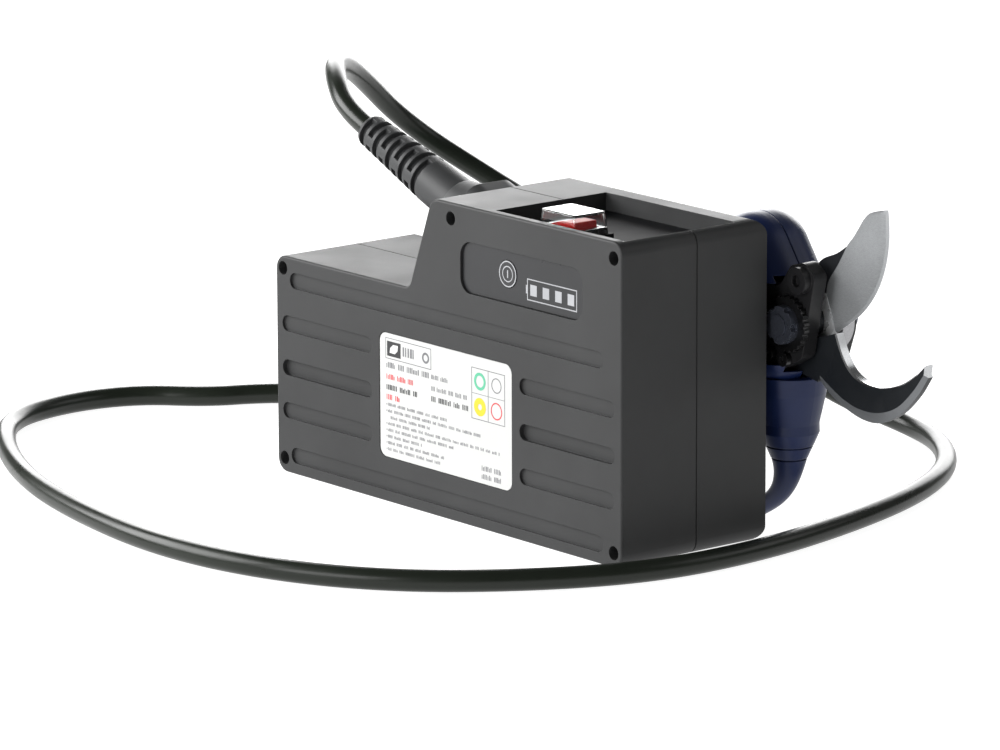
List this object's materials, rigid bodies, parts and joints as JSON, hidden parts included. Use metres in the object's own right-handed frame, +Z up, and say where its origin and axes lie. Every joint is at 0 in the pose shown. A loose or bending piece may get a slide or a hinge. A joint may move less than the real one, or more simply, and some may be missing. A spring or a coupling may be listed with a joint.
{
  "type": "cordless electric pruning shears",
  "caption": "Cordless electric pruning shears: a stepped battery pack, a cable in a ribbed strain relief, and a pruner with a hooked counter blade, a curved cutting blade and a hand guard.",
  "frame": {"origin": "centre of the battery pack's underside, on the surface it stands on", "axes": "+X along the pack towards the blades, +Y from the label face to the back, +Z up"},
  "size_m": [0.4219, 0.3587, 0.1556],
  "materials": {
    "pack_shell": "fine spark-eroded texture, black",
    "label": "printed film, silver grey with black bands",
    "display_film": "smoked glossy film",
    "button_black": "glossy black with a printed ring",
    "circuit_board": "green solder mask",
    "cell_wrap": "shrink-wrapped lithium cells",
    "holder": "moulded cell holder",
    "nickel": "nickel strip",
    "panel_black": "smooth black",
    "switch_black": "black",
    "switch_red": "translucent red",
    "clear_cover": "clear splash cover",
    "rubber_black": "moulded rubber",
    "cable_jacket": "glossy dark jacket",
    "navy_shell": "satin dark blue",
    "screw_steel": "black oxide steel",
    "bright_steel": "ground steel",
    "hook_steel": "dark phosphated steel",
    "blade_steel": "coated steel, ground bevel",
    "case_black": "black die casting",
    "gear_steel": "cut gear steel",
    "bearing_bronze": "sintered bronze",
    "motor_steel": "zinc plated",
    "winding": "enamelled copper on laminations"
  },
  "bodies": {
    "shears": {"front_shell": "pack_shell", "rear_shell": "pack_shell", "case_screws": "screw_steel", "label_plate": "label", "display_window": "display_film", "display_board": "circuit_board", "battery_cells": "cell_wrap", "cell_holder_front": "holder", "cell_holder_rear": "holder", "nickel_strips": "nickel", "bms_board": "circuit_board", "switch_panel": "panel_black", "switch_body": "switch_black", "switch_cover": "clear_cover", "charge_socket": "switch_black", "cable_gland": "rubber_black", "gland_nut": "panel_black", "strain_relief": "rubber_black", "power_cable": "cable_jacket", "tool_strain_relief": "rubber_black", "housing_near": "navy_shell", "housing_far": "navy_shell", "housing_screws": "screw_steel", "hand_guard": "navy_shell", "gear_case": "case_black", "side_plate": "case_black", "hook_blade": "hook_steel", "hook_screws": "screw_steel", "pivot_bolt": "bright_steel", "lock_disc": "screw_steel", "lock_nut": "bright_steel", "thrust_washer": "bearing_bronze", "pinion_bearing": "bearing_bronze", "ring_gear": "motor_steel", "motor_stator": "winding", "motor_can": "motor_steel", "motor_end_cap": "panel_black", "control_board": "circuit_board", "trigger_pin": "bright_steel", "trigger_spring": "bright_steel", "trigger_sensor": "circuit_board"},
    "blade": {"moving_blade": "blade_steel", "bevel_sector": "gear_steel", "blade_screws": "screw_steel"},
    "carrier": {"bevel_pinion": "gear_steel", "planet_pins": "bright_steel"},
    "planet_a": {"planet_gear_1": "gear_steel"},
    "planet_b": {"planet_gear_2": "gear_steel"},
    "planet_c": {"planet_gear_3": "gear_steel"},
    "rotor": {"motor_rotor": "motor_steel", "sun_shaft": "gear_steel"},
    "trigger_lever": {"trigger": "panel_black"},
    "rocker": {"switch_rocker": "switch_red"},
    "button": {"power_button": "button_black"}
  },
  "joints": [
    {"name": "blade_pivot", "type": "hinge", "parent": "shears", "child": "blade", "pos_m": [0.11, 0.0565, 0.0845], "axis": [0, 1, 0], "range_deg": [0, 60]},
    {"name": "pinion_spin", "type": "hinge", "parent": "shears", "child": "carrier", "pos_m": [0.06973, 0.0565, 0.07257], "axis": [0.9588, 0, 0.284], "range_deg": [0, 273]},
    {"name": "planet_a_spin", "type": "hinge", "parent": "carrier", "child": "planet_a", "pos_m": [0.05372, 0.0565, 0.07628], "axis": [0.9588, 0, 0.284], "range_deg": [-764, 0]},
    {"name": "planet_b_spin", "type": "hinge", "parent": "carrier", "child": "planet_b", "pos_m": [0.05717, 0.04949, 0.06463], "axis": [0.9588, 0, 0.284], "range_deg": [-764, 0]},
    {"name": "planet_c_spin", "type": "hinge", "parent": "carrier", "child": "planet_c", "pos_m": [0.05717, 0.06351, 0.06463], "axis": [0.9588, 0, 0.284], "range_deg": [-764, 0]},
    {"name": "rotor_spin", "type": "hinge", "parent": "shears", "child": "rotor", "pos_m": [0.02371, 0.0565, 0.05894], "axis": [0.9588, 0, 0.284], "range_deg": [0, 1228]},
    {"name": "trigger_pull", "type": "hinge", "parent": "shears", "child": "trigger_lever", "pos_m": [0.06, 0.0565, 0.05], "axis": [0, 1, 0], "range_deg": [0, 15], "stiffness_Nm_per_rad": 0.1, "springref_deg": -11.46},
    {"name": "switch_rock", "type": "hinge", "parent": "shears", "child": "rocker", "pos_m": [0.0605, -0.0215, 0.1216], "axis": [0, 1, 0], "range_deg": [0, 20]},
    {"name": "button_press", "type": "slide", "parent": "shears", "child": "button", "axis": [0, 1, 0], "range_m": [0, 0.0006], "stiffness_N_per_m": 250, "springref_m": -0.001}
  ],
  "couplings": [
    {"joint": "pinion_spin", "follows": "blade_pivot", "ratio": 4.5455},
    {"joint": "planet_a_spin", "follows": "blade_pivot", "ratio": -12.727},
    {"joint": "planet_b_spin", "follows": "blade_pivot", "ratio": -12.727},
    {"joint": "planet_c_spin", "follows": "blade_pivot", "ratio": -12.727},
    {"joint": "rotor_spin", "follows": "blade_pivot", "ratio": 20.455}
  ]
}
